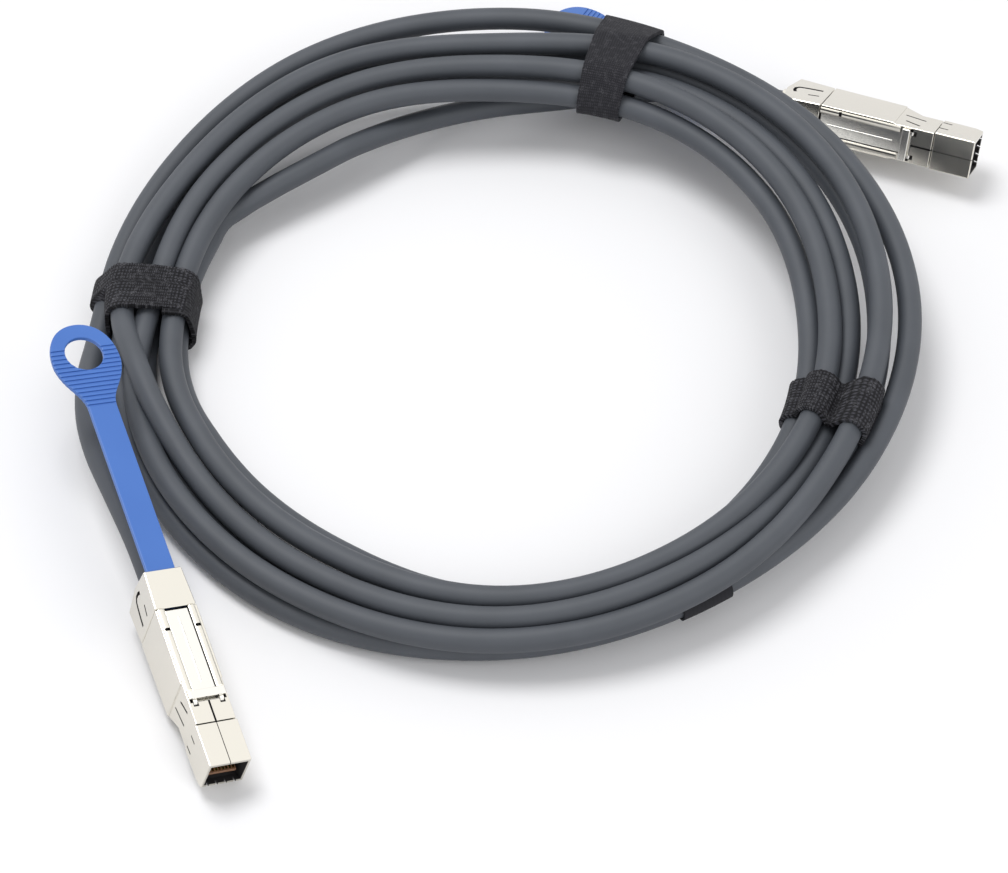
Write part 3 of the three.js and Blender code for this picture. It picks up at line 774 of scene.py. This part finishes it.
# %% Place the pieces of both plugs
for tag, place in (("a", place_a), ("b", place_b)):
    put(f"plug_rear_shell_{tag}", rear_mesh, place, "cable", f"rear_shell_{tag}")
    put(f"plug_body_shell_{tag}", body_mesh, place, "cable", f"body_shell_{tag}")
    put(f"plug_nose_shell_{tag}", nose_mesh, place, "cable", f"nose_shell_{tag}")
    put(f"plug_latch_plate_{tag}", latch_mesh, place, f"latch_{tag}", f"latch_plate_{tag}")
    put(f"plug_latch_bridge_{tag}", bridge_mesh, place, "cable", f"latch_bridge_{tag}")
    put(f"plug_card_upper_{tag}", card_meshes["upper"], place, "cable", f"card_upper_{tag}")
    put(f"plug_card_lower_{tag}", card_meshes["lower"], place, "cable", f"card_lower_{tag}")
    put(f"plug_card_carrier_{tag}", carrier_mesh, place, "cable", f"card_carrier_{tag}")
    put(f"plug_ferrule_{tag}", ferrule_mesh, place, "cable", f"crimp_ferrule_{tag}")

# %% [markdown]
# ## Pull tabs
# Each tab is one blue moulding: a flat strap that comes out of the shell's top slot,
# and a teardrop grip with a finger hole and cross ribs. The far tab turns flat and
# bends under the bundle, so its strap is modelled straight and then bent. A Curve
# modifier could bend it too. The centre line is worked out here instead, so that the
# bends are the CAD's own.

# %% Tab material
# Blue polypropylene: soft satin with slow clouds of lighter blue from the mould
tab_blue, shader = new_material("moulded_blue_polypropylene")
coords = add_node(tab_blue, "ShaderNodeTexCoord")
at = {"Vector": coords.outputs["Object"]}
flow = add_node(tab_blue, "ShaderNodeTexNoise", at, inputs={"Scale": 45.0, "Detail": 2.0})
blue = add_node(tab_blue, "ShaderNodeMix", {"Factor": flow.outputs["Fac"]}, data_type="RGBA")
blue.inputs[6].default_value = srgb("#3B69B6")
blue.inputs[7].default_value = srgb("#4573C0")
frost = add_node(tab_blue, "ShaderNodeTexNoise", at, inputs={"Scale": 1600.0})
height = {"Height": frost.outputs["Fac"]}
dimple = add_node(tab_blue, "ShaderNodeBump", height, inputs={"Strength": 0.05, "Distance": 0.0002})
tab_blue.node_tree.links.new(blue.outputs[2], shader.inputs["Base Color"])
tab_blue.node_tree.links.new(dimple.outputs["Normal"], shader.inputs["Normal"])
shader.inputs["Roughness"].default_value = 0.42
shader.inputs["IOR"].default_value = 1.49
print("made", tab_blue.name)

# %% Tab shape, flat: s along x from the shell's back edge
STRAP_W = 9.0
STRAP_T = 1.6
STRAP_FRONT = 12.4
NECK_S = 60.0
HOLE_S = 80.2
GRIP_R = 11.0


def curve_points(start, c1, c2, end, steps):
    """Points of a Bezier curve after its first."""
    out = []
    for i in range(1, steps + 1):
        t = i / steps
        out.append(tuple((1 - t) ** 3 * a + 3 * t * (1 - t) ** 2 * b + 3 * t * t * (1 - t) * c + t ** 3 * d
                         for a, b, c, d in zip(start, c1, c2, end)))
    return out


edge = [(-STRAP_FRONT, STRAP_W / 2)] + [(-STRAP_FRONT + 2.0 * i, STRAP_W / 2) for i in range(1, 37)]
edge.append((NECK_S, STRAP_W / 2))
neck = (NECK_S, STRAP_W / 2)
shoulder = (HOLE_S - 4, GRIP_R * 0.98)
tip = (HOLE_S + GRIP_R, 0)
edge += curve_points(neck, (NECK_S + 6, STRAP_W / 2), (NECK_S + 8, GRIP_R * 0.86), shoulder, 12)
edge += curve_points(shoulder, (HOLE_S + 5, GRIP_R * 1.03), (HOLE_S + GRIP_R, GRIP_R * 0.62), tip, 14)
outline = [(x, y) for x, y in edge] + [(x, -y) for x, y in edge[-2::-1]]
tab = slab([(x, y, -STRAP_T / 2) for x, y in outline], (0, 0, STRAP_T))
hole = bmesh.new()
HOLE_R = 6.0
bmesh.ops.create_cone(
    hole, cap_ends=True, segments=40, radius1=HOLE_R, radius2=HOLE_R, depth=6,
    matrix=Matrix.Translation((HOLE_S, 0, 0)),
)
ribs = []
for i in range(14):
    s = NECK_S + 0.6 + 1.6 * i
    for z in (STRAP_T / 2, -STRAP_T / 2):
        ribs.append(bar(s, s + 0.8, -GRIP_R - 1, GRIP_R + 1, z - 0.32, z + 0.32))
tab_clean = machined(tab, tab_blue, cuts=[hole], bevel=0.3, segments=2)
start = bmesh.new()
start.from_mesh(tab_clean)
tab_flat = machined(start, tab_blue, cuts=ribs, bevel=0)
print("tab faces:", len(tab_flat.polygons))


# %% Centre line of each strap, the same bends as in the CAD
def strap_frames(place, bend):
    """A point and two directions for each mm along a strap."""
    turn = place.to_3x3()
    back = turn @ Vector((-1, 0, 0))
    wide = turn @ Vector((0, 1, 0))
    spot = place @ Vector((0, 0, -1.9)) - back * STRAP_FRONT
    frames = []
    s = -STRAP_FRONT
    while s <= NECK_S + 0.001:
        t = min(1.0, max(0.0, (s - bend["from"]) / (bend["to"] - bend["from"])))
        t = t * t * (3 - 2 * t)
        swing = Quaternion((0, 0, 1), math.radians(bend["turn"] * t))
        along = swing @ back
        across = Quaternion(along, math.radians(bend["twist"] * t)) @ (swing @ wide)
        frames.append((s, spot.copy(), along, across))
        spot = spot + along
        s += 1.0
    return frames


def bent_tab(place, bend):
    """The flat tab, laid along a strap's centre line."""
    mesh = tab_flat.copy()
    frames = strap_frames(place, bend)
    for vertex in mesh.vertices:
        x, y, z = vertex.co
        at = min(max(x + STRAP_FRONT, 0.0), len(frames) - 1.0)
        low = min(int(at), len(frames) - 2)
        mix = at - low
        s0, p0, a0, w0 = frames[low]
        s1, p1, a1, w1 = frames[low + 1]
        along = a0.lerp(a1, mix).normalized()
        across = w0.lerp(w1, mix).normalized()
        spot = p0.lerp(p1, mix) + along * (x - (s0 + (s1 - s0) * mix))
        vertex.co = spot + across * y + along.cross(across) * z
    return mesh


BEND_A = {"from": 10, "to": 58, "turn": 0, "twist": 0}
BEND_B = {"from": 12, "to": 56, "turn": -17, "twist": 52}
for tag, place, bend in (("a", place_a, BEND_A), ("b", place_b, BEND_B)):
    put(f"tab_{tag}", bent_tab(place, bend), Matrix.Identity(4), f"tab_{tag}", f"pull_tab_{tag}")

# %% [markdown]
# ## Ties and sleeve
#
# The ties are hook-and-loop tape: a woven black strip with short stiff hooks, drawn
# round the bundle and pressed onto itself. A grid is wrapped round the strands that it
# really crosses, so it rises and dips with them, and is then given its thickness.
# A cloth simulation could lay it too, but is slower and harder to steer.

# %% Where the strands pass at an angle, and a loop drawn round some of them
def strands_at(angle, first, last):
    """Inward distance and height of each turn where it passes an angle."""
    found = []
    for turn in range(TURNS + 1):
        travelled = 360.0 * turn + 175.0 - angle
        if 0 <= travelled <= rows[-1][0]:
            found.append(Vector((smooth_value(rows, travelled, 1), smooth_value(rows, travelled, 2))))
    return found[first:last + 1]


def loop_reach(strands, middle, around, tension):
    """How far a tape round the strands lies from their middle in one direction."""
    radius = CABLE_D / 2 + 0.2
    way = Vector((math.cos(around), math.sin(around)))
    tight = 0.0
    for strand in strands:
        along = (strand - middle).dot(way)
        miss = radius ** 2 - ((strand - middle).length_squared - along ** 2)
        if miss > 0:
            tight = max(tight, along + math.sqrt(miss))
    drawn = 1e9
    for i in range(-40, 41):
        lean = around + math.radians(2.0 * i)
        push = Vector((math.cos(lean), math.sin(lean)))
        widest = max((strand - middle).dot(push) for strand in strands) + radius
        drawn = min(drawn, widest / math.cos(lean - around))
    return max(tight, tight + (drawn - tight) * tension)


def tape(name, angle, width, first, last, tension, sweep=(0.0, 360.0), lift=0.0, thickness=1.3, fray=0.25):
    """Hook-and-loop tape round some strands, as a bent and thickened grid."""
    steps, across = 150, 14
    bm = bmesh.new()
    grid_uv = bm.loops.layers.uv.new("tape")
    bmesh.ops.create_grid(bm, x_segments=steps, y_segments=across, size=0.5)
    chance = random.Random(name)
    flat = {v: (v.co.x + 0.5, v.co.y) for v in bm.verts}
    for face in bm.faces:
        for loop in face.loops:
            u, w = flat[loop.vert]
            loop[grid_uv].uv = (u * 0.09, w * width * MM)
    tables = {}
    for row in range(across + 1):
        turn = angle + math.degrees((row / across - 0.5) * width / (OUTER_R - 12.0))
        strands = strands_at(turn, first, last)
        middle = sum(strands, Vector((0, 0))) / len(strands)
        reach = [loop_reach(strands, middle, math.radians(3.0 * i), tension) for i in range(120)]
        for _ in range(2):
            reach = [
                max(reach[i] * 0.9, (reach[i - 1] + reach[i] + reach[(i + 1) % 120]) / 3)
                for i in range(120)
            ]
        tables[row] = (turn, middle, reach)
    for vert, (u, w) in flat.items():
        turn, middle, reach = tables[round((w + 0.5) * across)]
        around = sweep[0] + (sweep[1] - sweep[0]) * u
        at = (around % 360.0) / 3.0
        low = int(at) % 120
        out = reach[low] + (reach[(low + 1) % 120] - reach[low]) * (at - int(at))
        end_lift = lift * (0.35 + 0.65 * u) if lift else 0.0
        way = Vector((math.cos(math.radians(around)), math.sin(math.radians(around))))
        spot = middle + way * (out + 0.25 + end_lift)
        edge = abs(w) > 0.49
        theta = math.radians(turn + (chance.uniform(-fray, fray) if edge else 0.0) * 0.5)
        radius = OUTER_R - spot.x
        x = OUTER_C[0] + radius * math.cos(theta)
        y = OUTER_C[1] + radius * math.sin(theta)
        vert.co = Vector((x, y, coil_base(x, y) + spot.y)) * MM
    if sweep[1] - sweep[0] >= 360.0:
        bmesh.ops.remove_doubles(bm, verts=bm.verts, dist=0.00002)
    bmesh.ops.recalc_face_normals(bm, faces=bm.faces)
    bmesh.ops.solidify(bm, geom=bm.faces[:], thickness=-thickness * MM)
    bmesh.ops.recalc_face_normals(bm, faces=bm.faces)
    mesh = bpy.data.meshes.new(name)
    bm.to_mesh(mesh)
    bm.free()
    return soften(mesh, 50)


def dress(name, mesh, material, node):
    """One finished tape, which stands for its CAD node and goes with the cable."""
    mesh.materials.append(material)
    obj = bpy.data.objects.new(name, mesh)
    bpy.context.collection.objects.link(obj)
    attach(obj, "cable")
    if node:
        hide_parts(node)
    return obj


# %% [markdown]
# Hook tape is dark with pale broken loops caught in it, loop tape is brushed and even,
# and the sleeve is smooth. All three come from one recipe: two crossed waves for the
# weave, noise for the fluff, and specks where two noises are high at once. Real hair
# would be nearer close up, but it isn't kept in an exported mesh.

# %% Tape materials
def tape_material(name, dark, light, speck, thread, bump):
    """A woven tape: its dark and light threads, how pale its specks are, thread count and relief."""
    material, shader = new_material(name)
    uv = add_node(material, "ShaderNodeUVMap", uv_map="tape")
    at = {"Vector": uv.outputs["UV"]}
    along = {"Scale": thread, "Distortion": 1.2}
    over = {"Scale": thread * 0.8, "Distortion": 1.2}
    warp = add_node(material, "ShaderNodeTexWave", at, inputs=along, bands_direction="X")
    weft = add_node(material, "ShaderNodeTexWave", at, inputs=over, bands_direction="Y")
    crossed = {0: warp.outputs["Fac"], 1: weft.outputs["Fac"]}
    weave = add_node(material, "ShaderNodeMath", crossed, operation="MULTIPLY")
    fluff = add_node(material, "ShaderNodeTexNoise", at, inputs={"Scale": 2600.0, "Detail": 3.0})
    patch = add_node(material, "ShaderNodeTexNoise", at, inputs={"Scale": 420.0})
    both = {0: fluff.outputs["Fac"], 1: patch.outputs["Fac"]}
    mix = add_node(material, "ShaderNodeMath", both, operation="MULTIPLY")
    value = {"Value": mix.outputs["Value"]}
    limits = {"From Min": 0.27, "From Max": 0.5, "To Max": speck}
    specks = add_node(material, "ShaderNodeMapRange", value, inputs=limits)
    base = add_node(material, "ShaderNodeMix", {"Factor": weave.outputs["Value"]}, data_type="RGBA")
    base.inputs[6].default_value = srgb(dark)
    base.inputs[7].default_value = srgb(light)
    full = add_node(material, "ShaderNodeMix", {"Factor": specks.outputs["Result"]}, data_type="RGBA")
    material.node_tree.links.new(base.outputs[2], full.inputs[6])
    full.inputs[7].default_value = srgb("#8A8A90")
    material.node_tree.links.new(full.outputs[2], shader.inputs["Base Color"])
    summed = {0: weave.outputs["Value"], 1: fluff.outputs["Fac"]}
    height = add_node(material, "ShaderNodeMath", summed, operation="ADD")
    raised = {"Height": height.outputs["Value"]}
    relief = add_node(material, "ShaderNodeBump", raised, inputs={"Strength": bump, "Distance": 0.0006})
    material.node_tree.links.new(relief.outputs["Normal"], shader.inputs["Normal"])
    shader.inputs["Roughness"].default_value = 0.85
    shader.inputs["Specular IOR Level"].default_value = 0.25
    return material


# Hook tape gives coarse contrast and pale specks, loop tape an even dark fuzz, and
# the sleeve a plain black that hardly breaks the highlight
hook_tape = tape_material("woven_nylon_hook_tape", "#0E0E11", "#4C4C53", 0.6, 300.0, 0.9)
loop_tape = tape_material("brushed_nylon_loop_tape", "#1E1E22", "#34343A", 0.25, 460.0, 0.4)
sleeve_tape = tape_material("smooth_black_wrap_tape", "#202024", "#26262B", 0.0, 320.0, 0.05)
print("made", hook_tape.name, loop_tape.name, sleeve_tape.name)

# %% [markdown]
# The left tie has a loose end that stands off the bundle, so it is a second tape that
# goes only part of the way round. The right tie doesn't reach the outer strand, and
# the sleeve holds that strand alone.

# %% The three ties and the sleeve
LAST = TURNS
dress("tie_left_tape", tape("tie_left_tape", 176.0, 18.0, 0, LAST, 1.0), hook_tape, "tie_left")
flap = tape("tie_left_flap", 177.0, 18.0, 0, LAST, 1.0, sweep=(60.0, -52.0), lift=2.6)
dress("tie_left_end", flap, hook_tape, None)
top = tape("tie_top_tape", 70.0, 18.0, 0, LAST, 1.0, fray=0.1)
dress("tie_top_tape", top, loop_tape, "tie_top")
dress("tie_right_tape", tape("tie_right_tape", -24.0, 17.0, 1, LAST, 0.25), hook_tape, "tie_right")
sleeve = tape("sleeve_wrap", -61.5, 15.0, 0, 0, 1.0, thickness=0.5, fray=0.0)
dress("sleeve_wrap", sleeve, sleeve_tape, "sleeve_band")
